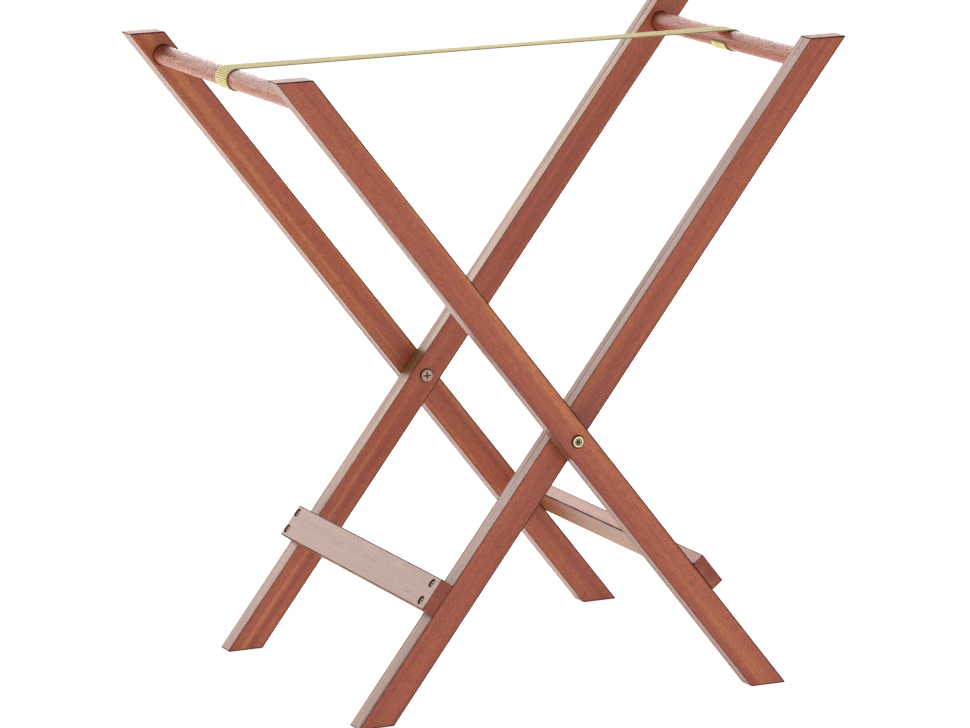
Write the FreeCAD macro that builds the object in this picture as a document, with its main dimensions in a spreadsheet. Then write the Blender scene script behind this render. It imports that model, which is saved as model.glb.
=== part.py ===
import FreeCAD, Part
import math
import os
import Sketcher

# A folding stand in the shape of an X: two leg pairs that turn on two sleeve nuts, each pair with a
# round rail near its top and a flat board low down, and one webbing strap from rail to rail.
#
# World frame: X runs from one rail to the other, Y along the rails from front to back, Z up.
# The origin is on the floor, under the middle of the stand.
#
# Frame coordinates: each leg pair has its own, with their origin on the pivot axis. s runs up along
# the legs, n points out of the legs' upper narrow faces and y is the world's Y.
# lean is 1 for the outer pair, whose tops go to -X, and -1 for the inner pair, which mirrors it.
# side is -1 for the front, at -Y, and 1 for the back.

DIMENSIONS = {
    # the stand
    "overall_height": 787.0,
    "overall_width": 508.0,
    "pivot_height": 329.0,
    "leg_angle": 37.7,
    "leg_gap": 2.0,
    # legs
    "leg_width": 37.0,
    "leg_depth": 28.0,
    "face_edge_round": 1.0,
    "sharp_corner_round": 0.8,
    "blunt_corner_round": 3.0,
    # rails
    "rail_distance": 543.5,
    "rail_drop": 1.5,
    "rail_diameter": 24.4,
    "rail_socket_depth": 20.0,
    "rail_socket_chamfer": 1.2,
    "rail_chamfer": 1.0,
    "glue_gap": 0.05,
    # boards
    "board_distance": 247.0,
    "board_width": 44.0,
    "board_depth": 17.0,
    "board_edge_round": 1.0,
    "board_screw_inset": 10.0,
    "board_screw_from_front": 17.5,
    "board_screw_from_back": 8.0,
    # wood screws
    "screw_sink_diameter": 9.6,
    "screw_sink_depth": 3.6,
    "screw_head_diameter": 8.4,
    "screw_head_depth": 2.6,
    "screw_head_chamfer": 0.7,
    "screw_shank_diameter": 4.0,
    "screw_point_depth": 4.0,
    "board_screw_length": 35.0,
    "rail_screw_length": 23.0,
    "rail_plug_depth": 2.5,
    "cross_span": 4.8,
    "cross_slot": 1.1,
    "cross_depth": 1.5,
    "pilot_gap": 0.05,
    "pilot_depth": 29.0,
    # pivot bolts, sleeve nuts and washers
    "bolt_head_diameter": 15.0,
    "bolt_head_depth": 2.2,
    "bolt_shank_diameter": 6.0,
    "bolt_length": 52.0,
    "bolt_dish_diameter": 9.0,
    "bolt_dish_depth": 0.7,
    "bolt_key_width": 5.0,
    "bolt_key_depth": 3.2,
    "nut_head_diameter": 16.0,
    "nut_head_depth": 2.2,
    "nut_sleeve_diameter": 9.0,
    "nut_bore_depth": 26.5,
    "nut_cross_span": 9.6,
    "nut_cross_slot": 2.2,
    "nut_cross_depth": 1.4,
    "head_chamfer": 0.5,
    "thread_gap": 0.1,
    "pivot_gap": 0.05,
    "end_play": 0.3,
    "washer_diameter": 18.0,
    "washer_depth": 1.6,
    # strap
    "strap_width": 38.0,
    "strap_depth": 1.6,
    "strap_wrap_angle": 263.0,
    "outer_strap_shift": -3.0,
    "inner_strap_shift": 8.5,
    "wrap_gap": 0.1,
    # staples
    "staple_width": 10.0,
    "staple_wire": 0.8,
    "staple_leg": 6.0,
    "staple_spacing": 18.0,
    "staple_angle": 246.0,
}

FRAMES = {"outer": 1, "inner": -1}
SIDES = {"front": -1, "back": 1}

doc = FreeCAD.newDocument("folding_stand")
sheet = doc.addObject("Spreadsheet::Sheet", "dims")
for row, (alias, size) in enumerate(DIMENSIONS.items(), start=1):
    sheet.set(f"A{row}", alias)
    sheet.set(f"B{row}", str(size))
    sheet.setAlias(f"B{row}", alias)
doc.recompute()

pieces = []


# ---- distances that several pieces share, as expressions on the sheet ----

HALF_WIDTH = {
    "outer": "dims.overall_width / 2",
    "inner": "(dims.overall_width / 2 - dims.leg_depth - dims.leg_gap)",
}
SINE = "sin(dims.leg_angle)"
COSINE = "cos(dims.leg_angle)"
RAIL_RADIUS = "dims.rail_diameter / 2"
SHANK_HOLE = "(dims.screw_shank_diameter + 2 * dims.pilot_gap)"
RAIL_X = f"(dims.rail_distance * {SINE} + dims.rail_drop * {COSINE})"
RAIL_Z = f"(dims.pivot_height + dims.rail_distance * {COSINE} - dims.rail_drop * {SINE})"
RAIL_HALF_LENGTH = {
    frame: f"({HALF_WIDTH[frame]} - dims.leg_depth + dims.rail_socket_depth)" for frame in FRAMES
}
BOARD_FACE = "(dims.leg_width / 2 + dims.board_depth)"
BOARD_SCREW_SEAT = f"({BOARD_FACE} - dims.screw_sink_depth + dims.screw_head_depth)"
RAIL_SCREW_SEAT = "(dims.leg_width / 2 - dims.rail_plug_depth)"
BOARD_SCREW_STEP = "(dims.board_width / 2 - dims.board_screw_inset)"
BOARD_SCREW_S = [f"(-dims.board_distance + {end} * {BOARD_SCREW_STEP})" for end in (-1, 1)]

# mm: places closer than this are the same place
NEAR = 0.001
# cubic mm: every cut takes away more than this
LEAST_CUT = 0.1
# degrees: an angle to start from, so that a piece keeps its axis until its own angle is bound
START_ANGLE = 30


def value(expression):
    """The number that an expression on the sheet gives now."""
    found = sheet.evalExpression(expression)
    return float(getattr(found, "Value", found))


def board_screw_y(frame, side):
    """Where the board's screws cross the leg on that side of the stand."""
    inset = "dims.board_screw_from_front" if side < 0 else "dims.board_screw_from_back"
    return f"{side} * ({HALF_WIDTH[frame]} - {inset})"


def rail_screw_y(frame, side):
    """The middle of a leg's thickness, which is where its rail screw goes in."""
    return f"{side} * ({HALF_WIDTH[frame]} - dims.leg_depth / 2)"


# ---- how pieces are made and placed ----


def new_body(label):
    body = doc.addObject("PartDesign::Body", label)
    body.Label = label
    pieces.append(body)
    return body


def sketch_on(body, name, role, lift=None):
    """A sketch on one of the body's own origin planes, moved by lift along the plane's normal."""
    sketch = body.newObject("Sketcher::SketchObject", name)
    plane = next(feature for feature in body.Origin.OriginFeatures if feature.Role == role)
    sketch.AttachmentSupport = (plane, [""])
    sketch.MapMode = "FlatFace"
    if lift:
        sketch.setExpression("AttachmentOffset.Base.z", lift)
    return sketch


def bind(sketch, constraint, expression):
    sketch.setExpression(f"Constraints[{sketch.addConstraint(constraint)}]", expression)


def pin_point(sketch, geometry, point, across, up):
    """Holds a point of the sketch at two expressions, measured from the sketch's origin."""
    bind(sketch, Sketcher.Constraint("DistanceX", -1, 1, geometry, point, value(across)), across)
    bind(sketch, Sketcher.Constraint("DistanceY", -1, 1, geometry, point, value(up)), up)


def draw_outline(sketch, corners):
    """A closed outline of straight lines through corners, each a pair of expressions."""
    points = [FreeCAD.Vector(value(across), value(up), 0) for across, up in corners]
    sides = zip(points, points[1:] + points[:1])
    lines = [sketch.addGeometry(Part.LineSegment(start, end)) for start, end in sides]
    for line, following in zip(lines, lines[1:] + lines[:1]):
        sketch.addConstraint(Sketcher.Constraint("Coincident", line, 2, following, 1))
    for line, (across, up) in zip(lines, corners):
        pin_point(sketch, line, 1, across, up)


def draw_circle(sketch, across, up, diameter):
    centre = FreeCAD.Vector(value(across), value(up), 0)
    circle = sketch.addGeometry(Part.Circle(centre, FreeCAD.Vector(0, 0, 1), value(diameter) / 2))
    pin_point(sketch, circle, 3, across, up)
    bind(sketch, Sketcher.Constraint("Diameter", circle, value(diameter)), diameter)


def pad(body, name, sketch, length, both_ways=False, reverse=False):
    feature = body.newObject("PartDesign::Pad", name)
    feature.Profile = sketch
    feature.setExpression("Length", length)
    feature.SideType = "Symmetric" if both_ways else "One side"
    feature.Reversed = reverse
    return feature


def pocket(body, name, sketch, length, both_ways=False, reverse=False):
    """Cuts the sketch into the body, against the sketch's normal or, if reverse is set, along it."""
    feature = body.newObject("PartDesign::Pocket", name)
    feature.Profile = sketch
    feature.setExpression("Length", length)
    feature.SideType = "Symmetric" if both_ways else "One side"
    feature.Reversed = reverse
    doc.recompute()
    if not feature.Shape.Volume < feature.BaseFeature.Shape.Volume - LEAST_CUT:
        raise RuntimeError(f"{body.Label}: {name} cuts nothing")
    return feature


def turn(body, name, sketch):
    """A full turn of the sketch about its own vertical axis."""
    feature = body.newObject("PartDesign::Revolution", name)
    feature.Profile = sketch
    feature.ReferenceAxis = (sketch, ["V_Axis"])
    feature.Angle = 360.0
    return feature


def dress(body, kind, name, size, expression, wanted):
    """A Fillet or Chamfer on those edges of the body's last feature that wanted says yes to."""
    doc.recompute()
    base = body.Tip
    numbered = enumerate(base.Shape.Edges, start=1)
    edges = [f"Edge{number}" for number, edge in numbered if wanted(edge)]
    feature = body.newObject(f"PartDesign::{kind}", name)
    feature.Base = (base, edges)
    feature.setExpression(size, expression)
    doc.recompute()


def round_edges(body, name, radius, wanted):
    dress(body, "Fillet", name, "Radius", radius, wanted)


def place(piece, base, axis, angle):
    """Binds a piece's place to expressions: base is three of them and angle is one, about axis."""
    piece.Placement = FreeCAD.Placement(FreeCAD.Vector(0, 0, 0), FreeCAD.Rotation(axis, START_ANGLE))
    for letter, expression in zip("xyz", base):
        piece.setExpression(f"Placement.Base.{letter}", expression)
    piece.setExpression("Placement.Rotation.Angle", f"({angle}) * 1 deg")


ACROSS = FreeCAD.Vector(1, 0, 0)
ALONG_RAILS = FreeCAD.Vector(0, 1, 0)


def place_in_frame(piece, lean, y="0"):
    """Puts a piece that is drawn with X along lean times n and Z along s in its leg pair."""
    place(piece, ("0", y, "dims.pivot_height"), ALONG_RAILS, f"{-lean} * dims.leg_angle")


def place_along_n(piece, lean, depth, distance, y):
    """Stands a piece in its leg pair, its Z axis along n, with its origin at n = depth, s = distance."""
    base_x = f"{-lean} * ({distance} * {SINE} - {depth} * {COSINE})"
    base_z = f"dims.pivot_height + {distance} * {COSINE} + {depth} * {SINE}"
    place(piece, (base_x, y, base_z), ALONG_RAILS, f"{lean} * (90 - dims.leg_angle)")


# ---- wood ----


def leg_end(lean, edge, height):
    """s where the leg's narrow face at X = edge * half its width meets a level cut at that height."""
    rise = f"({height} - dims.pivot_height)"
    return f"({rise} - {lean * edge} * dims.leg_width / 2 * {SINE}) / {COSINE}"


def drill_narrow_face(body, name, lean, holes, length):
    """Drills round holes of (y, s, diameter) into the leg pair's upper narrow face."""
    sketch = sketch_on(body, f"{name}_sketch", "YZ_Plane", f"{lean} * dims.leg_width / 2")
    for y, distance, diameter in holes:
        draw_circle(sketch, y, distance, diameter)
    pocket(body, name, sketch, length, reverse=lean < 0)


def corner_side(edge, lean):
    """1 for an edge at one of the bar's blunt corners, -1 for one at a sharp corner, 0 for any other."""
    middle = edge.CenterOfMass
    runs_along_y = 1 - abs(edge.tangentAt(edge.FirstParameter).y) < NEAR
    if runs_along_y and abs(abs(middle.x) - value("dims.leg_width / 2")) < NEAR:
        return math.copysign(1, middle.x * middle.z * lean)
    return 0


def is_on_broad_face(edge):
    """Whether an edge goes round one of the bar's two broad faces."""
    return abs(abs(edge.CenterOfMass.y) - value("dims.leg_depth / 2")) < NEAR


def is_socket_mouth(edge):
    """Whether an edge is the rim of the rail's socket, and not of the pivot's bore."""
    return edge.Closed and is_on_broad_face(edge) and edge.CenterOfMass.z > value("dims.rail_distance / 2")


def make_leg(frame, side_name):
    """A leg, drawn about the middle of its thickness, with both ends cut level."""
    lean, side = FRAMES[frame], SIDES[side_name]
    body = new_body(f"{frame}_leg_{side_name}")

    outline = sketch_on(body, "outline", "XZ_Plane")
    floor, top = "0", "dims.overall_height"
    corners = [
        (f"{edge} * dims.leg_width / 2", leg_end(lean, edge, height))
        for edge, height in ((-1, floor), (1, floor), (1, top), (-1, top))
    ]
    draw_outline(outline, corners)
    pad(body, "bar", outline, "dims.leg_depth", both_ways=True)

    for name, turned in (("sharp", -1), ("blunt", 1)):
        radius = f"dims.{name}_corner_round"
        round_edges(body, f"{name}_corners", radius, lambda edge: corner_side(edge, lean) == turned)
    round_edges(body, "face_edges", "dims.face_edge_round", is_on_broad_face)

    pivot = sketch_on(body, "pivot_sketch", "XZ_Plane")
    pivot_bore = {
        "outer": "dims.bolt_shank_diameter + 2 * dims.thread_gap",
        "inner": "dims.nut_sleeve_diameter + 2 * dims.pivot_gap",
    }
    draw_circle(pivot, "0", "0", pivot_bore[frame])
    pocket(body, "pivot_bore", pivot, "2 * dims.leg_depth", both_ways=True)

    # the XZ plane's normal is -Y, so the inner face of a front leg is below it
    socket = sketch_on(body, "socket_sketch", "XZ_Plane", f"{side} * dims.leg_depth / 2")
    width = "dims.rail_diameter + 2 * dims.glue_gap"
    draw_circle(socket, f"{-lean} * dims.rail_drop", "dims.rail_distance", width)
    pocket(body, "rail_socket", socket, "dims.rail_socket_depth", reverse=side < 0)
    dress(body, "Chamfer", "socket_mouth", "Size", "dims.rail_socket_chamfer", is_socket_mouth)

    middle = rail_screw_y(frame, side)
    sink = [("0", "dims.rail_distance", "dims.screw_sink_diameter")]
    sink_depth = "dims.rail_plug_depth + dims.screw_head_depth"
    drill_narrow_face(body, "rail_screw_sink", lean, sink, sink_depth)
    hole = [("0", "dims.rail_distance", SHANK_HOLE)]
    drill_narrow_face(body, "rail_screw_hole", lean, hole, "dims.pilot_depth")
    pilot_y = f"{board_screw_y(frame, side)} - {middle}"
    pilots = [(pilot_y, distance, SHANK_HOLE) for distance in BOARD_SCREW_S]
    drill_narrow_face(body, "board_screw_pilots", lean, pilots, "dims.pilot_depth")

    place_in_frame(body, lean, middle)


def make_rail(frame):
    """A round rail whose ends sit in the sockets of the pair's two legs."""
    lean = FRAMES[frame]
    body = new_body(f"{frame}_rail")
    section = sketch_on(body, "section", "XZ_Plane")
    draw_circle(section, f"{-lean} * dims.rail_drop", "dims.rail_distance", "dims.rail_diameter")
    pad(body, "rod", section, f"2 * {RAIL_HALF_LENGTH[frame]}", both_ways=True)
    dress(body, "Chamfer", "rims", "Size", "dims.rail_chamfer", lambda edge: edge.Closed)

    ends = [rail_screw_y(frame, side) for side in SIDES.values()]
    holes = [(y, "dims.rail_distance", SHANK_HOLE) for y in ends]
    drill_narrow_face(body, "screw_holes", lean, holes, "dims.pilot_depth")
    place_in_frame(body, lean)


def make_board(frame):
    """A flat board across the pair's upper narrow faces, as long as the pair is wide."""
    lean = FRAMES[frame]
    body = new_body(f"{frame}_board")
    face = sketch_on(body, "face", "YZ_Plane", f"{lean} * dims.leg_width / 2")
    corners = [
        (f"{side} * {HALF_WIDTH[frame]}", f"-dims.board_distance + {end} * dims.board_width / 2")
        for side, end in ((-1, -1), (1, -1), (1, 1), (-1, 1))
    ]
    draw_outline(face, corners)
    pad(body, "plank", face, "dims.board_depth", reverse=lean < 0)
    round_edges(body, "eased_edges", "dims.board_edge_round", lambda edge: True)

    sinks = ("screw_sinks", "dims.screw_sink_diameter", "dims.screw_sink_depth")
    holes = ("screw_holes", SHANK_HOLE, "2 * dims.board_depth")
    for name, diameter, depth in (sinks, holes):
        sketch = sketch_on(body, f"{name}_sketch", "YZ_Plane", f"{lean} * {BOARD_FACE}")
        for side in SIDES.values():
            for distance in BOARD_SCREW_S:
                draw_circle(sketch, board_screw_y(frame, side), distance, diameter)
        pocket(body, name, sketch, depth, reverse=lean < 0)
    place_in_frame(body, lean)


# ---- fasteners, each drawn about Z with its head up ----


def cut_cross(body, name, span, slot, depth):
    """A cross recess for a screwdriver, cut down from Z = 0."""
    sketch = sketch_on(body, f"{name}_sketch", "XY_Plane")
    far, near = f"{span} / 2", f"{slot} / 2"
    arm = [(far, f"-{near}"), (far, near), (near, near)]
    corners = []
    for _ in range(4):
        corners += arm
        arm = [(f"-({up})", across) for across, up in arm]
    draw_outline(sketch, corners)
    pocket(body, name, sketch, depth)


def make_wood_screw(label, length):
    """A chamfered flat head on a plain shank with a cone for a point. Z = 0 is the top of its head."""
    body = new_body(label)
    head, shank = "dims.screw_head_diameter / 2", "dims.screw_shank_diameter / 2"
    profile = sketch_on(body, "profile", "XZ_Plane")
    draw_outline(
        profile,
        [
            ("0", "0"),
            (f"{head} - dims.screw_head_chamfer", "0"),
            (head, "-dims.screw_head_chamfer"),
            (head, "-dims.screw_head_depth"),
            (shank, "-dims.screw_head_depth"),
            (shank, f"-(dims.screw_head_depth + {length} - dims.screw_point_depth)"),
            ("0", f"-(dims.screw_head_depth + {length})"),
        ],
    )
    turn(body, "shape", profile)
    doc.recompute()
    cut_cross(body, "cross", "dims.cross_span", "dims.cross_slot", "dims.cross_depth")
    return body


def make_screws(frame):
    """Four board screws and two rail screws, in one leg pair."""
    lean = FRAMES[frame]
    for side_name, side in SIDES.items():
        for row, distance in zip(("lower", "upper"), BOARD_SCREW_S):
            screw = make_wood_screw(f"{frame}_board_screw_{side_name}_{row}", "dims.board_screw_length")
            place_along_n(screw, lean, BOARD_SCREW_SEAT, distance, board_screw_y(frame, side))
        screw = make_wood_screw(f"{frame}_rail_screw_{side_name}", "dims.rail_screw_length")
        place_along_n(screw, lean, RAIL_SCREW_SEAT, "dims.rail_distance", rail_screw_y(frame, side))


def make_rail_plug(frame, side_name):
    """A wood plug over a rail screw, flush with the leg. Z = 0 is its visible face."""
    body = new_body(f"{frame}_rail_plug_{side_name}")
    face = sketch_on(body, "face", "XY_Plane")
    draw_circle(face, "0", "0", "dims.screw_sink_diameter - 2 * dims.glue_gap")
    pad(body, "disc", face, "dims.rail_plug_depth", reverse=True)
    y = rail_screw_y(frame, SIDES[side_name])
    place_along_n(body, FRAMES[frame], "dims.leg_width / 2", "dims.rail_distance", y)


def stand_on_pivot(piece, side, y):
    """Turns a piece drawn about Z onto the pivot axis, with its Z axis to the front or the back."""
    place(piece, ("0", y, "dims.pivot_height"), ACROSS, f"{-side} * 90")


def make_pivot_bolt(side_name):
    """A flat dished head with a hex socket, and a plain shank. Z = 0 is the underside of the head."""
    side = SIDES[side_name]
    body = new_body(f"pivot_bolt_{side_name}")
    head, shank = "dims.bolt_head_diameter / 2", "dims.bolt_shank_diameter / 2"
    profile = sketch_on(body, "profile", "XZ_Plane")
    draw_outline(
        profile,
        [
            ("0", "-dims.bolt_length"),
            (f"{shank} - dims.head_chamfer", "-dims.bolt_length"),
            (shank, "-dims.bolt_length + dims.head_chamfer"),
            (shank, "0"),
            (head, "0"),
            (head, "dims.bolt_head_depth - dims.head_chamfer"),
            (f"{head} - dims.head_chamfer", "dims.bolt_head_depth"),
            ("dims.bolt_dish_diameter / 2", "dims.bolt_head_depth"),
            ("dims.bolt_key_width / 2", "dims.bolt_head_depth - dims.bolt_dish_depth"),
            ("0", "dims.bolt_head_depth - dims.bolt_dish_depth"),
        ],
    )
    turn(body, "shape", profile)
    doc.recompute()
    key = sketch_on(body, "key_sketch", "XY_Plane", "dims.bolt_head_depth")
    # a hexagon's corners are 60 degrees apart, so each is 30 degrees from the middle of a side
    radius = "dims.bolt_key_width / 2 / cos(30)"
    corners = [(f"{radius} * cos({angle})", f"{radius} * sin({angle})") for angle in range(0, 360, 60)]
    draw_outline(key, corners)
    pocket(body, "key", key, "dims.bolt_key_depth")
    stand_on_pivot(body, side, f"{side} * dims.overall_width / 2")


def make_sleeve_nut(side_name):
    """A flat head with a cross recess on a sleeve with a blind bore. Z = 0 is the top of its head.

    The sleeve is the inner leg's bearing. It runs through to the washer, so the leg keeps some end play.
    """
    side = SIDES[side_name]
    body = new_body(f"sleeve_nut_{side_name}")
    head, sleeve = "dims.nut_head_diameter / 2", "dims.nut_sleeve_diameter / 2"
    bore = "(dims.bolt_shank_diameter / 2 + dims.thread_gap)"
    end = "-(dims.nut_head_depth + dims.end_play + dims.leg_depth + dims.leg_gap - dims.washer_depth)"
    profile = sketch_on(body, "profile", "XZ_Plane")
    draw_outline(
        profile,
        [
            ("0", "0"),
            (f"{head} - dims.head_chamfer", "0"),
            (head, "-dims.head_chamfer"),
            (head, "-dims.nut_head_depth"),
            (sleeve, "-dims.nut_head_depth"),
            (sleeve, end),
            (bore, end),
            (bore, f"{end} + dims.nut_bore_depth"),
            ("0", f"{end} + dims.nut_bore_depth"),
        ],
    )
    turn(body, "shape", profile)
    doc.recompute()
    cut_cross(body, "cross", "dims.nut_cross_span", "dims.nut_cross_slot", "dims.nut_cross_depth")
    inner_face = f"({HALF_WIDTH['inner']} - dims.leg_depth)"
    stand_on_pivot(body, -side, f"{side} * ({inner_face} - dims.end_play - dims.nut_head_depth)")


def make_pivot_washer(side_name):
    """A flat washer against the outer leg's inner face."""
    side = SIDES[side_name]
    body = new_body(f"pivot_washer_{side_name}")
    ring = sketch_on(body, "ring", "XY_Plane")
    draw_circle(ring, "0", "0", "dims.washer_diameter")
    draw_circle(ring, "0", "0", "dims.bolt_shank_diameter + 2 * dims.thread_gap")
    pad(body, "disc", ring, "dims.washer_depth")
    stand_on_pivot(body, side, f"{side} * (dims.overall_width / 2 - dims.leg_depth - dims.washer_depth)")


# ---- strap ----


def make_strap_wrap(frame):
    """The strap round a rail: from its top, over its outer side and under it, to the tail."""
    lean = FRAMES[frame]
    band = doc.addObject("Part::Cylinder", f"{frame}_wrap_band")
    band.setExpression("Radius", f"{RAIL_RADIUS} + dims.strap_depth")
    band.setExpression("Angle", "dims.strap_wrap_angle")
    core = doc.addObject("Part::Cylinder", f"{frame}_wrap_core")
    core.setExpression("Radius", f"{RAIL_RADIUS} + dims.wrap_gap")
    for cylinder in (band, core):
        cylinder.setExpression("Height", "dims.strap_width")
    wrap = doc.addObject("Part::Cut", f"{frame}_strap_wrap")
    wrap.Base, wrap.Tool = band, core
    pieces.append(wrap)

    # the band starts at the cylinder's own X axis, which points to the top of the rail
    top = FreeCAD.Vector(0, 0, 1)
    outer_side = FreeCAD.Vector(-lean, 0, 0)
    end = FreeCAD.Vector(0, -lean, 0)
    turned = FreeCAD.Rotation(top, outer_side, end, "XYZ")
    wrap.Placement = FreeCAD.Placement(FreeCAD.Vector(0, 0, 0), turned)
    wrap.setExpression("Placement.Base.x", f"{-lean} * {RAIL_X}")
    wrap.setExpression("Placement.Base.y", f"dims.{frame}_strap_shift + {lean} * dims.strap_width / 2")
    wrap.setExpression("Placement.Base.z", RAIL_Z)


def make_strap_run(frame):
    """The taut strap from the top of a rail to the middle of the stand.

    Its two ends are shifted along the rails by different amounts, so it runs slightly askew.
    """
    body = new_body(f"{frame}_strap_run")
    face = sketch_on(body, "face", "XY_Plane", f"{RAIL_Z} + {RAIL_RADIUS} + dims.wrap_gap")
    middle = ("0", "(dims.outer_strap_shift + dims.inner_strap_shift) / 2")
    rail = (f"{-FRAMES[frame]} * {RAIL_X}", f"dims.{frame}_strap_shift")
    corners = [
        (x, f"{y} + {edge} * dims.strap_width / 2")
        for (x, y), edge in ((middle, -1), (rail, -1), (rail, 1), (middle, 1))
    ]
    draw_outline(face, corners)
    pad(body, "web", face, "dims.strap_depth - dims.wrap_gap")


def make_staple(frame, side_name):
    """A wire staple through the strap's tail into the rail, drawn about the rail's axis."""
    lean, side = FRAMES[frame], SIDES[side_name]
    body = new_body(f"{frame}_strap_staple_{side_name}")
    seat = f"({RAIL_RADIUS} + dims.strap_depth)"
    half, wire = "dims.staple_width / 2", "dims.staple_wire"
    tip = f"{seat} - dims.strap_depth - dims.staple_leg"
    wires = sketch_on(body, "wires", "YZ_Plane")
    draw_outline(
        wires,
        [
            (f"-{half}", tip),
            (f"-{half} + {wire}", tip),
            (f"-{half} + {wire}", seat),
            (f"{half} - {wire}", seat),
            (f"{half} - {wire}", tip),
            (half, tip),
            (half, f"{seat} + {wire}"),
            (f"-{half}", f"{seat} + {wire}"),
        ],
    )
    pad(body, "staple", wires, wire, both_ways=True)
    y = f"dims.{frame}_strap_shift + {side} * dims.staple_spacing / 2"
    place(body, (f"{-lean} * {RAIL_X}", y, RAIL_Z), ALONG_RAILS, f"{-lean} * dims.staple_angle")


def check(piece):
    if piece.Shape.isNull() or not piece.Shape.isValid() or not piece.Shape.Solids:
        raise RuntimeError(f"{piece.Label} has no valid solid")


for frame in FRAMES:
    for side_name in SIDES:
        make_leg(frame, side_name)
    make_rail(frame)
    make_board(frame)
    make_screws(frame)
    make_strap_wrap(frame)
    make_strap_run(frame)
    for side_name in SIDES:
        make_rail_plug(frame, side_name)
        make_staple(frame, side_name)
for side_name in SIDES:
    make_pivot_bolt(side_name)
    make_sleeve_nut(side_name)
    make_pivot_washer(side_name)

doc.recompute()
failed = [thing.Label for thing in doc.Objects if {"Invalid", "Error"} & set(thing.State)]
if failed:
    raise RuntimeError(f"these objects failed: {failed}")
for piece in pieces:
    check(piece)

os.makedirs("parts", exist_ok=True)
for piece in pieces:
    piece.Shape.exportStep(f"parts/{piece.Label}.step")
print(len(pieces), "sub-parts")
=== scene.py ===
import math

import bmesh
import bpy
from mathutils import Matrix, Vector


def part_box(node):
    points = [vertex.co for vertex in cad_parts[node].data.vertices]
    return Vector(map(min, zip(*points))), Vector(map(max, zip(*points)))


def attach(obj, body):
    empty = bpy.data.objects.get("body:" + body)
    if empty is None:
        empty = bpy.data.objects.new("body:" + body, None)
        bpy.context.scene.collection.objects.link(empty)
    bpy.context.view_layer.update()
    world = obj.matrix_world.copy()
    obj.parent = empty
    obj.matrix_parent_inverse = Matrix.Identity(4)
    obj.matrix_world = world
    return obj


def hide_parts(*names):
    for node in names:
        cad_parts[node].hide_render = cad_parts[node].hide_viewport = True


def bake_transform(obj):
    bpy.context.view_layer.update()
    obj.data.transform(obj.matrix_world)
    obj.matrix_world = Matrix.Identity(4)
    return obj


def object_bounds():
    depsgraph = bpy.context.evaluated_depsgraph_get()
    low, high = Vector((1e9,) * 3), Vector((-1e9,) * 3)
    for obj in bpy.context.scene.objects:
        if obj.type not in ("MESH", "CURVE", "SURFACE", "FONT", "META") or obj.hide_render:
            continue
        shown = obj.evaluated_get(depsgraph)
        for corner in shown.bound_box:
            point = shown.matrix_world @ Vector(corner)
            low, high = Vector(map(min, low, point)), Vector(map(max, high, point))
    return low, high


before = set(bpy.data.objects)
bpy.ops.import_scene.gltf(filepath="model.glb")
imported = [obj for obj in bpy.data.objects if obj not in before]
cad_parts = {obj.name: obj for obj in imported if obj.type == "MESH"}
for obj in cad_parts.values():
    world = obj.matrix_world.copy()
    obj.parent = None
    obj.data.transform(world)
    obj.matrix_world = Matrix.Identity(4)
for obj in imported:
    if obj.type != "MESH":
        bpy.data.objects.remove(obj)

# A folding X-shaped wooden stand with brass pivots and one ribbed webbing strap from rail to rail.
# Everything is in metres: +X from the outer pair's rail to the inner pair's, +Y to the back, +Z up.
# The wood, brass, screws and washers are the frame's own nodes with new materials. The strap and its
# staples are built here.

CAD_LOW, CAD_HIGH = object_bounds()
MM = 0.001

FRAMES = {"outer": 1, "inner": -1}  # 1 if the pair's tops lean to -X
SIDES = {"front": -1, "back": 1}

ALONG_RAILS = Vector((0, 1, 0))
PIVOT_LOW, PIVOT_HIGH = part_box("pivot_bolt_front")
PIVOT = Vector(((PIVOT_LOW.x + PIVOT_HIGH.x) / 2, 0, (PIVOT_LOW.z + PIVOT_HIGH.z) / 2))
LEG_ANGLE = math.radians(37.7)  # from upright
SAME_FACE = 0.05 * MM  # vertices closer than this along a direction are on one face


def out_of_narrow_face(lean):
    """The direction out of a leg pair's upper narrow faces, where its board and screws are."""
    return Vector((lean * math.cos(LEG_ANGLE), 0, math.sin(LEG_ANGLE)))


def far_face(node, direction):
    """The middle of what a node reaches farthest that way."""
    points = [vertex.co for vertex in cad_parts[node].data.vertices]
    farthest = max(point.dot(direction) for point in points)
    face = [point for point in points if point.dot(direction) > farthest - SAME_FACE]
    return sum(face, Vector()) / len(face)


# ---- camera, floor and light ----

CAMERA_SPOT = Vector((-2.6196, -5.8468, 1.6620))
CAMERA_YAW = 24.008  # degrees from +Y towards +X
CAMERA_PITCH = -11.355
CAMERA_ROLL = -0.804
CAMERA_LENS = 196.86
CAMERA_SHIFT = (0.0071, 0.0026)


def make_camera():
    yaw, pitch, roll = (math.radians(angle) for angle in (CAMERA_YAW, CAMERA_PITCH, CAMERA_ROLL))
    forward = Vector(
        (math.sin(yaw) * math.cos(pitch), math.cos(yaw) * math.cos(pitch), math.sin(pitch))
    )
    level = forward.cross(Vector((0, 0, 1))).normalized()
    upright = level.cross(forward)
    right = level * math.cos(roll) + upright * math.sin(roll)
    up = right.cross(forward)

    data = bpy.data.cameras.new("camera")
    data.lens = CAMERA_LENS
    data.shift_x, data.shift_y = CAMERA_SHIFT
    data.clip_end = 100
    camera = bpy.data.objects.new("camera", data)
    turned = Matrix((right, up, -forward)).transposed().to_4x4()
    camera.matrix_world = Matrix.Translation(CAMERA_SPOT) @ turned
    bpy.context.scene.collection.objects.link(camera)
    bpy.context.scene.camera = camera


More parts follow.
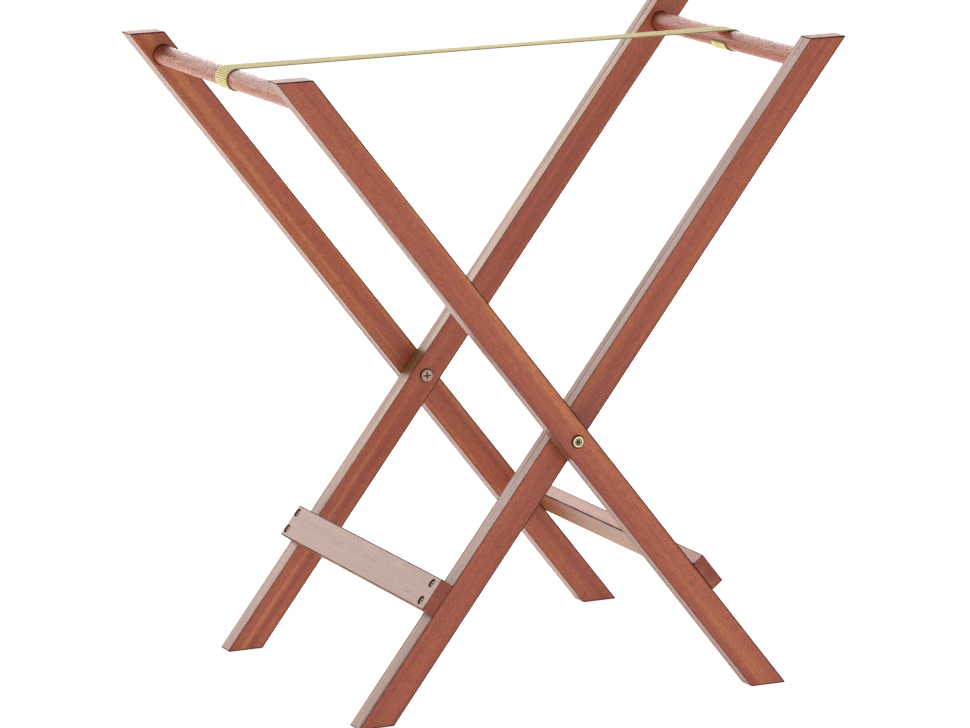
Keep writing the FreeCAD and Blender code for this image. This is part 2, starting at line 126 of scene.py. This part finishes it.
def make_panel(name, spot, size, radiance, colour=(1, 1, 1)):
    """A soft studio panel that faces the middle of the stand and isn't seen itself."""
    data = bpy.data.lights.new(name, "AREA")
    data.shape = "RECTANGLE"
    data.size, data.size_y = size
    data.energy = radiance * math.pi * size[0] * size[1]
    data.color = colour
    panel = bpy.data.objects.new(name, data)
    panel.location = spot
    aim = Vector((0, 0, (CAD_LOW.z + CAD_HIGH.z) / 2)) - panel.location
    panel.rotation_mode = "QUATERNION"
    panel.rotation_quaternion = aim.to_track_quat("-Z", "Y")
    panel.visible_camera = False
    bpy.context.scene.collection.objects.link(panel)


WORLD_LIGHT = 0.38
BACK_PANEL = (Vector((-0.2, 3.7, 2.0)), (6.5, 3.2), 4.1, (1.0, 0.985, 0.95))
FRONT_PANEL = (Vector((-0.3, -4.6, 1.6)), (3.4, 2.4), 2.2)


def make_studio():
    world = bpy.data.worlds.new("studio")
    world.use_nodes = True
    background = world.node_tree.nodes["Background"]
    background.inputs["Color"].default_value = (1, 1, 1, 1)
    background.inputs["Strength"].default_value = WORLD_LIGHT
    bpy.context.scene.world = world
    bpy.context.scene.view_settings.view_transform = "Standard"

    make_panel("back_panel", *BACK_PANEL)
    make_panel("front_panel", *FRONT_PANEL)


FLOOR_HALF = 30.0
FLOOR_GLOW = 0.72  # keeps the paper white where the panels don't reach


def make_floor():
    mesh = bpy.data.meshes.new("floor")
    corners = [(x * FLOOR_HALF, y * FLOOR_HALF, CAD_LOW.z) for x, y in ((-1, -1), (1, -1), (1, 1), (-1, 1))]
    mesh.from_pydata(corners, [], [(0, 1, 2, 3)])
    floor = bpy.data.objects.new("floor", mesh)
    bpy.context.scene.collection.objects.link(floor)
    paper = Graph("floor_paper")
    paper.set("Base Color", (0.95, 0.95, 0.95, 1))
    paper.set("Roughness", 0.9)
    paper.set("Emission Color", (1, 1, 1, 1))
    paper.set("Emission Strength", FLOOR_GLOW)
    mesh.materials.append(paper.material)


# ---- materials ----


class Graph:
    """A material's node graph. An input is a number, a tuple or another node's output."""

    def __init__(self, name):
        self.material = bpy.data.materials.new(name)
        self.material.use_nodes = True
        self.tree = self.material.node_tree
        self.surface = self.tree.nodes["Principled BSDF"]

    def feed(self, socket, given):
        if isinstance(given, bpy.types.NodeSocket):
            self.tree.links.new(given, socket)
        else:
            socket.default_value = given

    def add(self, kind, inputs, **settings):
        node = self.tree.nodes.new(kind)
        for setting, wanted in settings.items():
            setattr(node, setting, wanted)
        for key, given in inputs.items():
            self.feed(node.inputs[key], given)
        return node

    def set(self, name, given):
        self.feed(self.surface.inputs[name], given)

    def maths(self, operation, a, b=0.0, clamp=False):
        return self.add("ShaderNodeMath", {0: a, 1: b}, operation=operation, use_clamp=clamp).outputs[0]

    def ramp(self, given, low, high, to_low=0.0, to_high=1.0):
        """given from low..high to to_low..to_high, eased and held at both ends."""
        node = self.add(
            "ShaderNodeMapRange",
            {"Value": given, "From Min": low, "From Max": high, "To Min": to_low, "To Max": to_high},
            interpolation_type="SMOOTHSTEP",
        )
        return node.outputs["Result"]

    def noise(self, place, stretch, detail=2.0, rough=0.5, distortion=0.0):
        """Noise whose grains are 1 / stretch metres long on each axis."""
        vector = self.add("ShaderNodeVectorMath", {0: place, 1: stretch}, operation="MULTIPLY").outputs[0]
        inputs = {"Vector": vector, "Scale": 1.0, "Detail": detail, "Roughness": rough}
        inputs["Distortion"] = distortion
        return self.add("ShaderNodeTexNoise", inputs).outputs["Fac"]

    def mix(self, share, a, b, blend="MIX"):
        node = self.add("ShaderNodeMix", {}, data_type="RGBA", blend_type=blend)
        for key, given in ((0, share), (6, a), (7, b)):
            self.feed(node.inputs[key], given)
        return node.outputs[2]

    def distance(self, place, centre):
        inputs = {0: place, 1: tuple(centre)}
        offset = self.add("ShaderNodeVectorMath", inputs, operation="SUBTRACT").outputs[0]
        return self.add("ShaderNodeVectorMath", {0: offset}, operation="LENGTH").outputs["Value"]

    def ring(self, reach, inner, outer, soft=0.3 * MM):
        """1 between two distances and 0 outside them."""
        rise = self.ramp(reach, inner - soft, inner + soft)
        return self.maths("MULTIPLY", rise, self.ramp(reach, outer - soft, outer + soft, 1.0, 0.0))

    def bump(self, height, distance, strength=1.0, normal=None):
        inputs = {"Height": height, "Distance": distance, "Strength": strength}
        if normal is not None:
            inputs["Normal"] = normal
        return self.add("ShaderNodeBump", inputs).outputs["Normal"]


# lacquered hardwood: red-brown, with lighter orange bands and near-black open pores
WOOD_DARK = (0.270, 0.056, 0.030, 1)
WOOD_MIDDLE = (0.330, 0.078, 0.038, 1)
WOOD_LIGHT = (0.420, 0.130, 0.048, 1)
WOOD_PORE = (0.110, 0.022, 0.014, 1)
# near-black for painted shade along edges and round pivots, sockets and screw sinks, and for the plug's dark
# joint
WOOD_SHADE_AND_JOINT = (0.024, 0.009, 0.007, 1)
# painted reflection: a paler, less red tint for the sides that face along X, standing in for the grazing
# reflection on them
WOOD_REFLECTION_TINT = (0.68, 0.95, 0.92, 1)
WOOD_END = (0.66, 0.52, 0.56, 1)
EDGE_BAND = (2.2 * MM, 1.0 * MM)  # how far in from an edge the painted edge shade starts, and where it is full
LIT_EDGE_SHADE = 0.3  # the share of the painted edge shade that is left on the lit front edge, which reads as a painted highlight
END_RIM = (0.2 * MM, 1.7 * MM)  # the reach from a level cut of its dark rim of painted edge shade
SQUARED_IOR, ROUND_IOR = 1.36, 1.27

# the wood's noises, as stretches on the grain axes, whose Z runs along the grain
BANDS = (75, 75, 1.2)
STREAKS = (560, 560, 13)
MOTTLE = (320, 320, 150)
SPECKLE = (900, 900, 500)
PORES = (1700, 1700, 75)
# patches in the painted edge shade
EDGE_SHADE_PATCHES = (60, 60, 25)
SEED_STEP = Vector((0.36, 0.59, 0.83))

# where the gloss is broken: the noise's stretch on the grain axes, its threshold, and how strongly
LONG_LINES = ((640, 640, 2.0), 0.545, 0.95)
FAINT_LINES = ((420, 420, 9), 0.60, 0.25)
SPECKS = ((820, 820, 300), 0.51, 0.75)


def grain_box(node, turn):
    """The corners of a node's box in its own grain axes, whose Z runs along the grain."""
    points = [turn @ vertex.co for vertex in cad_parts[node].data.vertices]
    low = Vector([min(point[axis] for point in points) for axis in range(3)])
    high = Vector([max(point[axis] for point in points) for axis in range(3)])
    return low, high


def wood(node, turn, seed, breaks, marks=(), squared=False, cut_level=False):
    """Lacquered wood for one node. turn takes the row frame to the grain axes.

    marks are dark rings on the surface, each a (centre, inner radius, outer radius, strength): painted
    shade, but round a plug the ring is its dark joint.
    A squared piece has painted shade along its four long edges, and a paler, less red tint painted on the
    sides that face along X to stand in for the grazing reflection on them. One that is cut level has less of
    that edge shade along its front edge on the -X side, a painted highlight where the light falls, and the
    ends of one that isn't are darker.
    """
    graph = Graph(f"wood_{node}")
    place = graph.add("ShaderNodeTexCoord", {}).outputs["Object"]
    grain = graph.add("ShaderNodeMapping", {"Vector": place, "Rotation": tuple(turn.to_euler())}).outputs[0]
    shift = SEED_STEP * seed
    patch = graph.add("ShaderNodeVectorMath", {0: grain, 1: tuple(shift)}, operation="ADD").outputs[0]

    # slow bands and fine streaks along the grain, cloudy mottle, speckle, pores, and dull scratches
    bands = graph.noise(patch, BANDS, detail=1, rough=0.4, distortion=0.3)
    streaks = graph.noise(patch, STREAKS, detail=3, rough=0.6)
    mottle = graph.noise(patch, MOTTLE, detail=3, rough=0.6, distortion=0.3)
    speckle = graph.noise(patch, SPECKLE, rough=0.6)
    pores = graph.noise(patch, PORES, detail=1)
    stretch, threshold, strength = breaks
    broken = graph.noise(patch, stretch)

    body = graph.mix(graph.ramp(bands, 0.32, 0.52), WOOD_DARK, WOOD_MIDDLE)
    body = graph.mix(graph.ramp(bands, 0.54, 0.72), body, WOOD_LIGHT)
    for noise, low, high in (
        (streaks, (0.95, 0.93, 0.92, 1), (1.04, 1.05, 1.05, 1)),
        (mottle, (0.92, 0.90, 0.90, 1), (1.07, 1.09, 1.09, 1)),
        (speckle, (0.86, 0.82, 0.80, 1), (1.13, 1.18, 1.18, 1)),
    ):
        body = graph.mix(1.0, body, graph.mix(graph.ramp(noise, 0.34, 0.66), low, high), "MULTIPLY")
    open_pores = graph.ramp(pores, 0.64, 0.74)
    body = graph.mix(graph.maths("MULTIPLY", open_pores, 0.5), body, WOOD_PORE)
    dull = graph.maths("MULTIPLY", graph.ramp(broken, threshold, threshold + 0.06), strength)

    shade_and_joints = 0.0
    if squared:
        low, high = grain_box(node, turn)
        middle, half = (low + high) / 2, (high - low) / 2
        axes = graph.add("ShaderNodeSeparateXYZ", {0: grain}).outputs
        offsets = [graph.maths("SUBTRACT", axes[axis], middle[axis]) for axis in range(2)]
        across = [graph.maths("ABSOLUTE", offset) for offset in offsets]
        # painted reflection: the sides that face along X get a paler, less red tint
        reflection_sides = graph.ramp(across[0], half.x - 0.9 * MM, half.x - 0.1 * MM)
        body = graph.mix(reflection_sides, body, graph.mix(1.0, body, WOOD_REFLECTION_TINT, "MULTIPLY"))
        dull = graph.maths("MULTIPLY", dull, graph.ramp(reflection_sides, 0.0, 1.0, 0.25, 1.0))
        # painted shade along the four long edges
        near = [
            graph.ramp(across[axis], *(half[axis] - reach for reach in EDGE_BAND))
            for axis in range(2)
        ]
        patchy = graph.ramp(graph.noise(patch, EDGE_SHADE_PATCHES, detail=3), 0.35, 0.65, 0.95, 0.7)
        shade_and_joints = graph.maths("MULTIPLY", graph.maths("MULTIPLY", *near), patchy)

        if cut_level:
            # less painted edge shade on the front edge on the -X side: a painted highlight where the light
            # falls
            reach = graph.maths("ADD", *offsets)
            corner = -(half.x + half.y)
            lit_edge = graph.ramp(reach, corner + 2 * EDGE_BAND[0], corner + 4 * EDGE_BAND[0], LIT_EDGE_SHADE, 1.0)
            shade_and_joints = graph.maths("MULTIPLY", shade_and_joints, lit_edge)
        else:
            along = graph.maths("ABSOLUTE", graph.maths("SUBTRACT", axes[2], middle.z))
            end = graph.ramp(along, half.z - 1.0 * MM, half.z - 0.3 * MM)
            body = graph.mix(end, body, graph.mix(1.0, body, WOOD_END, "MULTIPLY"))

    end_grain = 0.0
    if cut_level:
        # the end grain is dull, and a dark rim of painted edge shade goes round it
        height = graph.add("ShaderNodeSeparateXYZ", {0: place}).outputs[2]
        for face, inward in ((CAD_LOW.z, 1), (CAD_HIGH.z, -1)):
            depth = graph.maths("MULTIPLY", graph.maths("SUBTRACT", height, face), inward)
            rim = graph.maths("MULTIPLY", graph.ring(depth, *END_RIM), 0.85)
            shade_and_joints = graph.maths("MAXIMUM", shade_and_joints, rim)
            dullness = graph.ramp(depth, 0.1 * MM, 0.3 * MM, 0.6, 0.0)
            end_grain = graph.maths("MAXIMUM", dullness, end_grain)

    body = graph.mix(graph.maths("MULTIPLY", dull, 0.62), body, WOOD_PORE)
    # dark rings: painted shade, except round a plug, where the ring is its dark joint
    for centre, inner, outer, strength in marks:
        ring = graph.maths("MULTIPLY", graph.ring(graph.distance(place, centre), inner, outer), strength)
        shade_and_joints = graph.maths("MAXIMUM", ring, shade_and_joints)
    # the painted shade and the plug's dark joint darken the colour
    body = graph.mix(shade_and_joints, body, WOOD_SHADE_AND_JOINT)
    dull = graph.maths("MAXIMUM", graph.maths("MAXIMUM", dull, shade_and_joints), end_grain)

    graph.set("Base Color", body)
    rough = graph.ramp(mottle, 0.3, 0.7, 0.30, 0.40)
    rough = graph.maths("ADD", rough, graph.maths("MULTIPLY", open_pores, 0.2))
    graph.set("Roughness", graph.maths("MAXIMUM", rough, dull))
    # the painted shade is made a near-black metal, so that it takes no reflection either
    graph.set("Metallic", graph.maths("MULTIPLY", shade_and_joints, 0.9))
    graph.set("IOR", SQUARED_IOR if squared else ROUND_IOR)
    graph.set("Coat Weight", 0.12)
    graph.set("Coat Roughness", 0.3)
    height = graph.maths("SUBTRACT", graph.maths("MULTIPLY", streaks, 0.6), open_pores)
    relief = graph.bump(height, 0.12 * MM, 0.6)
    graph.set("Normal", graph.bump(mottle, 0.3 * MM, 0.3, relief))
    return graph.material


METAL_PATCHES = (420, 420, 420)
METAL_LINES = (900, 2600, 5200)


def metal(node, direction, colour, dull, rings=()):
    """A plated metal for a fastener whose head points that way: clean on top, with painted shade in its
    recesses.

    rings are rings of painted shade round its axis, each an (inner radius, outer radius, strength).
    """
    graph = Graph(f"metal_{node}")
    head = far_face(node, direction)
    place = graph.add("ShaderNodeTexCoord", {}).outputs["Object"]
    offset = graph.add("ShaderNodeVectorMath", {0: place, 1: tuple(head)}, operation="SUBTRACT").outputs[0]
    dot = {0: offset, 1: tuple(direction)}
    rise = graph.add("ShaderNodeVectorMath", dot, operation="DOT_PRODUCT").outputs["Value"]
    across = graph.add("ShaderNodeVectorMath", dot, operation="CROSS_PRODUCT").outputs[0]
    reach = graph.add("ShaderNodeVectorMath", {0: across}, operation="LENGTH").outputs["Value"]

    patches = graph.noise(place, METAL_PATCHES, detail=4, rough=0.6)
    lines = graph.noise(place, METAL_LINES)
    body = graph.mix(graph.ramp(patches, 0.40, 0.72), colour, dull)
    # painted shade: near-black in the recesses below the head's top and in rings round the axis
    shade_and_joints = tuple(0.07 * part for part in dull[:3]) + (1,)
    painted_shade = graph.ramp(rise, -1.0 * MM, -0.35 * MM, 0.9, 0.0)
    for inner, outer, strength in rings:
        ring = graph.maths("MULTIPLY", graph.ring(reach, inner, outer), strength)
        painted_shade = graph.maths("MAXIMUM", painted_shade, ring)
    graph.set("Base Color", graph.mix(painted_shade, body, shade_and_joints))
    graph.set("Metallic", graph.maths("SUBTRACT", 1.0, painted_shade))
    rough = graph.ramp(patches, 0.3, 0.7, 0.24, 0.42)
    graph.set("Roughness", graph.maths("ADD", rough, painted_shade, clamp=True))
    graph.set("Normal", graph.bump(lines, 0.03 * MM, 0.4))
    return graph.material


# the webbing's colour on its ribs, then painted shade for its rib valleys and sides, and the darkest for
# painted shade in the selvedge gaps and on the sealed tail end
WEB_LIGHT = (0.900, 0.780, 0.340, 1)
WEB_SHADE = (0.560, 0.430, 0.115, 1)
WEB_DEEP_SHADE = (0.100, 0.065, 0.018, 1)
WEB_SHADE_AND_SEAL = (0.060, 0.040, 0.020, 1)
RIB_PITCH = 2.4 * MM
YARN_PITCH = 0.8 * MM
SELVEDGE = 1.3 * MM
WOBBLE = (500, 260, 1)
SOIL = (24, 60, 1)
FUZZ = (1900, 1500, 1)


def webbing(width, length):
    """Ribbed webbing, with painted shade in its rib valleys, in the gaps at its selvedges and on its sides.
    Its UV map holds metres: U along it from the middle of the stand, V across it.
    """
    graph = Graph("webbing")
    place = graph.add("ShaderNodeUVMap", {}, uv_map="metres").outputs[0]
    axes = graph.add("ShaderNodeSeparateXYZ", {0: place}).outputs
    wobble = graph.noise(place, WOBBLE)
    drift = graph.maths("MULTIPLY", graph.maths("SUBTRACT", wobble, 0.5), 0.9)
    phase = graph.maths("ADD", graph.maths("MULTIPLY", axes[0], 2 * math.pi / RIB_PITCH), drift)
    valley = graph.maths("ADD", graph.maths("MULTIPLY", graph.maths("COSINE", phase), 0.5), 0.5)
    yarn_phase = graph.maths("MULTIPLY", axes[1], 2 * math.pi / YARN_PITCH)
    yarn = graph.maths("SINE", graph.maths("ADD", yarn_phase, graph.maths("MULTIPLY", wobble, 5.0)))
    yarn = graph.maths("ADD", graph.maths("MULTIPLY", yarn, 0.5), 0.5)
    soil = graph.noise(place, SOIL, detail=4, rough=0.6)
    fuzz = graph.noise(place, FUZZ, detail=3, rough=0.7)

    across = graph.maths("ABSOLUTE", axes[1])
    edge = graph.ramp(across, width / 2 - SELVEDGE, width / 2 - 0.6 * SELVEDGE)
    # painted shade in the rib valleys, darkest at their bottoms
    colour = graph.mix(graph.ramp(valley, 0.45, 0.85), WEB_LIGHT, WEB_SHADE)
    deep = graph.ramp(graph.maths("ADD", valley, graph.maths("MULTIPLY", fuzz, 0.25)), 0.70, 1.00)
    colour = graph.mix(deep, colour, WEB_DEEP_SHADE)
    # painted shade in the gaps between the rib ends along the selvedges
    gaps = graph.maths("MULTIPLY", edge, graph.ramp(valley, 0.50, 0.85))
    colour = graph.mix(gaps, colour, WEB_SHADE_AND_SEAL)
    # painted shade on the strap's rounded sides
    side = graph.ramp(across, width / 2 - 0.8 * MM, width / 2 - 0.3 * MM)
    colour = graph.mix(graph.maths("MULTIPLY", side, 0.7), colour, WEB_DEEP_SHADE)
    # the tail's cut end is dark: its sealed edge, with painted shade
    end = graph.ramp(axes[0], length - 1.6 * MM, length - 0.9 * MM)
    colour = graph.mix(end, colour, WEB_SHADE_AND_SEAL)
    for share, low, high in (
        (yarn, (0.86, 0.84, 0.78, 1), (1.05, 1.05, 1.05, 1)),
        (fuzz, (0.88, 0.86, 0.80, 1), (1.12, 1.12, 1.14, 1)),
    ):
        colour = graph.mix(0.8, colour, graph.mix(share, low, high), "MULTIPLY")
    shade = graph.mix(graph.ramp(soil, 0.35, 0.7), (1.04, 1.04, 1.04, 1), (0.92, 0.89, 0.82, 1))
    graph.set("Base Color", graph.mix(1.0, colour, shade, "MULTIPLY"))
    graph.set("Roughness", graph.ramp(fuzz, 0.3, 0.7, 0.62, 0.82))
    graph.set("Sheen Weight", 0.1)
    graph.set("Sheen Roughness", 0.4)
    graph.set("Normal", graph.bump(graph.maths("ADD", yarn, fuzz), 0.06 * MM, 0.8))
    return graph.material


def paint(node, material):
    """Gives a node of the frame one material."""
    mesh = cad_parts[node].data
    mesh.materials.clear()
    mesh.materials.append(material)


# dark rings, as inner and outer radius: painted shade round the pivot's head and washer, the rail's socket
# and the screw sinks, and the plug's dark joint
HEAD_RING = {"outer": (7.2 * MM, 8.5 * MM), "inner": (7.7 * MM, 9.0 * MM)}
WASHER_RING = (8.8 * MM, 10.0 * MM)
SOCKET_RING = (12.0 * MM, 13.5 * MM)
PLUG_RING = (4.5 * MM, 5.2 * MM)
SINK_RING = (4.0 * MM, 6.1 * MM)
# rings of painted shade round the fasteners' own axes, with their strength
SCREW_RINGS = ((3.4 * MM, 4.6 * MM, 0.95),)
BOLT_RINGS = ((3.2 * MM, 4.6 * MM, 0.95), (6.5 * MM, 7.8 * MM, 0.95))
NUT_RINGS = ((3.0 * MM, 4.0 * MM, 0.5), (5.4 * MM, 6.2 * MM, 0.8), (7.3 * MM, 8.2 * MM, 0.9))
# each plating's own colour and its colour where it is dull
BRONZE = ((0.130, 0.075, 0.056, 1), (0.070, 0.038, 0.028, 1))
GOLD = ((0.78, 0.69, 0.46, 1), (0.48, 0.36, 0.20, 1))
ROSE = ((0.62, 0.45, 0.33, 1), (0.36, 0.20, 0.14, 1))
BRASS_WIRE = ((0.46, 0.37, 0.17, 1), (0.28, 0.21, 0.09, 1))


def leg_marks(pair, side):
    """Painted shade round the pivot's head and washer and round the rail's socket, and the dark joint round
    the plug over its screw.
    """
    low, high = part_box(f"{pair}_leg_{side}")
    rail_low, rail_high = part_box(f"{pair}_rail")
    outer_face, inner_face = (low.y, high.y) if side == "front" else (high.y, low.y)
    rail = (rail_low + rail_high) / 2
    head_face, washer_face = (outer_face, inner_face) if pair == "outer" else (inner_face, outer_face)
    plug = far_face(f"{pair}_rail_plug_{side}", out_of_narrow_face(FRAMES[pair]))
    return (
        (Vector((PIVOT.x, head_face, PIVOT.z)), *HEAD_RING[pair], 0.85),
        (Vector((PIVOT.x, washer_face, PIVOT.z)), *WASHER_RING, 0.7),
        (Vector((rail.x, inner_face, rail.z)), *SOCKET_RING, 0.75),
        (plug, *PLUG_RING, 0.95),
    )


def paint_pair(pair, seed):
    lean = FRAMES[pair]
    out = out_of_narrow_face(lean)
    upright = Matrix.Rotation(lean * LEG_ANGLE, 3, "Y")
    along_rails = Matrix.Rotation(math.pi / 2, 3, "X")
    for side in SIDES:
        leg, plug = f"{pair}_leg_{side}", f"{pair}_rail_plug_{side}"
        marks = leg_marks(pair, side)
        timber = wood(leg, upright, seed, LONG_LINES, marks, squared=True, cut_level=True)
        paint(leg, timber)
        paint(plug, timber)
        seed += 2
        for kind in (f"board_screw_{side}_lower", f"board_screw_{side}_upper", f"rail_screw_{side}"):
            screw = f"{pair}_{kind}"
            paint(screw, metal(screw, out, *BRONZE, SCREW_RINGS))
    rail, board = f"{pair}_rail", f"{pair}_board"
    paint(rail, wood(rail, along_rails, seed, SPECKS))
    heads = [
        far_face(f"{pair}_board_screw_{side}_{row}", out) for side in SIDES for row in ("lower", "upper")
    ]
    # painted shadow round each board screw's countersink
    sinks = [(head, *SINK_RING, 1.0) for head in heads]
    paint(board, wood(board, along_rails @ upright, seed + 1, FAINT_LINES, sinks, squared=True))


def paint_frame():
    paint_pair("outer", 1)
    paint_pair("inner", 8)
    for side, sign in SIDES.items():
        out = ALONG_RAILS * sign
        bolt, nut, washer = (f"{kind}_{side}" for kind in ("pivot_bolt", "sleeve_nut", "pivot_washer"))
        paint(bolt, metal(bolt, out, *GOLD, BOLT_RINGS))
        paint(nut, metal(nut, -out, *ROSE, NUT_RINGS))
        paint(washer, metal(washer, -out, *GOLD))


# ---- strap ----

WRAP_ANGLE = math.radians(263)  # from the top of the rail, round its outer side, to the tail
STEPS_PER_RIB = 8
RIB_DEPTH = 0.30 * MM
EDGE_STEPS = 4
FACE_STEPS = 8
TWIST = math.radians(3.0)  # how far the strap rolls between a rail and the middle of the stand
SEAM_GAP = 0.05 * MM  # what each half is short of the middle, so that their ends never overlap


class StrapLine:
    """The middle line of half of the strap: from its tail, round the rail, to the middle of the stand."""

    def __init__(self, pair):
        self.lean = FRAMES[pair]
        wraps = {name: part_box(f"{name}_strap_wrap") for name in FRAMES}
        rail_low, rail_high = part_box(f"{pair}_rail")
        run_low, run_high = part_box(f"{pair}_strap_run")
        self.axis_x = (rail_low.x + rail_high.x) / 2
        self.axis_z = (rail_low.z + rail_high.z) / 2
        self.wrap_y = (wraps[pair][0].y + wraps[pair][1].y) / 2
        self.middle_y = sum(low.y + high.y for low, high in wraps.values()) / 4
        self.thickness = run_high.z - run_low.z
        self.width = wraps[pair][1].y - wraps[pair][0].y
        self.radius = (run_low.z + run_high.z) / 2 - self.axis_z
        self.wrap_length = WRAP_ANGLE * self.radius
        self.length = self.wrap_length + abs(self.axis_x) - SEAM_GAP

    def at(self, distance):
        """Where the line is that far from the tail, with its outward and sideways directions."""
        if distance < self.wrap_length:
            angle = WRAP_ANGLE - distance / self.radius
            outward = Vector((-self.lean * math.sin(angle), 0, math.cos(angle)))
            axis = Vector((self.axis_x, self.wrap_y, self.axis_z))
            return axis + outward * self.radius, outward, ALONG_RAILS
        share = min(1.0, (distance - self.wrap_length) / abs(self.axis_x))
        roll = TWIST * share * share * (3 - 2 * share)
        outward = Vector((0, math.sin(roll), math.cos(roll)))
        sideways = Vector((0, math.cos(roll), -math.sin(roll)))
        y = self.wrap_y + (self.middle_y - self.wrap_y) * share
        return Vector((self.axis_x * (1 - share), y, self.axis_z + self.radius)), outward, sideways


def strap_section(width, thickness):
    """A flat section with rounded edges, as (across, out) pairs, in order round it."""
    round_off = thickness / 2
    flat = width / 2 - round_off
    points = []
    for end in (1, -1):
        for step in range(EDGE_STEPS + 1):
            angle = math.pi / 2 - math.pi * step / EDGE_STEPS
            points.append((end * (flat + round_off * math.cos(angle)), end * round_off * math.sin(angle)))
        for step in range(1, FACE_STEPS):
            points.append((end * flat * (1 - 2 * step / FACE_STEPS), -end * round_off))
    return points


def finish_mesh(mesh, name, material):
    """A piece in the scene from a bmesh, with its normals outward."""
    bmesh.ops.recalc_face_normals(mesh, faces=mesh.faces)
    data = bpy.data.meshes.new(name)
    mesh.to_mesh(data)
    mesh.free()
    data.materials.append(material)
    piece = bpy.data.objects.new(name, data)
    bpy.context.scene.collection.objects.link(piece)
    return piece


def make_strap(pair, material):
    """Half of the strap as one closed mesh, with a real rib every RIB_PITCH."""
    line = StrapLine(pair)
    rings = round(line.length / RIB_PITCH * STEPS_PER_RIB)
    section = strap_section(line.width, line.thickness)
    mesh = bmesh.new()
    metres = mesh.loops.layers.uv.new("metres")
    made = []
    for number in range(rings + 1):
        distance = line.length * number / rings
        centre, outward, sideways = line.at(distance)
        # U counts from the middle of the stand, so the ribs of both halves meet there
        valley = (0.5 + 0.5 * math.cos(2 * math.pi * (line.length - distance) / RIB_PITCH)) ** 2
        cut = 1 - 2 * RIB_DEPTH / line.thickness * valley
        narrow = 1 - RIB_DEPTH / line.width * valley
        spots = [centre + sideways * across * narrow + outward * out * cut for across, out in section]
        made.append((line.length - distance, [mesh.verts.new(spot) for spot in spots]))
    count = len(section)
    for (u0, ring0), (u1, ring1) in zip(made, made[1:]):
        for k in range(count):
            k1 = (k + 1) % count
            face = mesh.faces.new((ring0[k], ring0[k1], ring1[k1], ring1[k]))
            for loop, (u, j) in zip(face.loops, ((u0, k), (u0, k1), (u1, k1), (u1, k))):
                loop[metres].uv = (u, section[j][0])
            face.smooth = True
    for (u, ring), flip in ((made[0], True), (made[-1], False)):
        face = mesh.faces.new(reversed(ring) if flip else ring)
        for loop in face.loops:
            loop[metres].uv = (u, 0)
    strap = finish_mesh(mesh, f"{pair}_strap_half", material)

    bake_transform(strap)
    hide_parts(f"{pair}_strap_wrap", f"{pair}_strap_run")


# ---- staples ----

STAPLE_ANGLE = math.radians(246)  # where on the wrap it is driven in
WIRE = 0.8 * MM
WIRE_SIDES = 10
CORNER = 0.9 * MM
CORNER_STEPS = 5
BURIED = 4 * MM  # how far the legs reach below the strap's surface


def staple_path(half, crown, foot):
    """The middle line of a staple's wire as (along, out) pairs, with rounded corners."""
    points = []
    for end in (-1, 1):
        arc = []
        for step in range(CORNER_STEPS + 1):
            angle = math.pi / 2 * step / CORNER_STEPS
            along = end * (half - CORNER + CORNER * math.cos(angle))
            arc.append((along, crown - CORNER + CORNER * math.sin(angle)))
        side = [(end * half, foot)] + arc
        points += side if end < 0 else side[::-1]
    return points


def make_staple(pair, side, material):
    """A staple of round wire over the strap's tail and into the rail."""
    node = f"{pair}_strap_staple_{side}"
    low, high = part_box(node)
    line = StrapLine(pair)
    out = Vector((-line.lean * math.sin(STAPLE_ANGLE), 0, math.cos(STAPLE_ANGLE)))
    axis = Vector((line.axis_x, (low.y + high.y) / 2, line.axis_z))
    surface = line.radius + line.thickness / 2
    half = (high.y - low.y - WIRE) / 2
    path = staple_path(half, surface + 0.4 * WIRE, surface - BURIED)
    spots = [axis + ALONG_RAILS * along + out * up for along, up in path]

    mesh = bmesh.new()
    rings = []
    level = out.cross(ALONG_RAILS)
    turns = [2 * math.pi * step / WIRE_SIDES for step in range(WIRE_SIDES)]
    for number, spot in enumerate(spots):
        before, after = spots[max(number - 1, 0)], spots[min(number + 1, len(spots) - 1)]
        normal = (after - before).normalized().cross(level)
        around = [(normal * math.cos(turn) + level * math.sin(turn)) * WIRE / 2 for turn in turns]
        rings.append([mesh.verts.new(spot + offset) for offset in around])
    for ring, following in zip(rings, rings[1:]):
        for k in range(WIRE_SIDES):
            k1 = (k + 1) % WIRE_SIDES
            mesh.faces.new((ring[k], ring[k1], following[k1], following[k])).smooth = True
    mesh.faces.new(rings[0][::-1])
    mesh.faces.new(rings[-1])
    staple = finish_mesh(mesh, f"{pair}_staple_{side}", material)
    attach(staple, f"{pair}_frame")
    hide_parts(node)


make_camera()
make_studio()
make_floor()
paint_frame()
strap_line = StrapLine("outer")
web = webbing(strap_line.width, strap_line.length)
# one material for all four staples, with painted shade nearly all over
wire = metal("outer_strap_staple_front", ALONG_RAILS, *BRASS_WIRE)
for pair in FRAMES:
    make_strap(pair, web)
    for side in SIDES:
        make_staple(pair, side, wire)
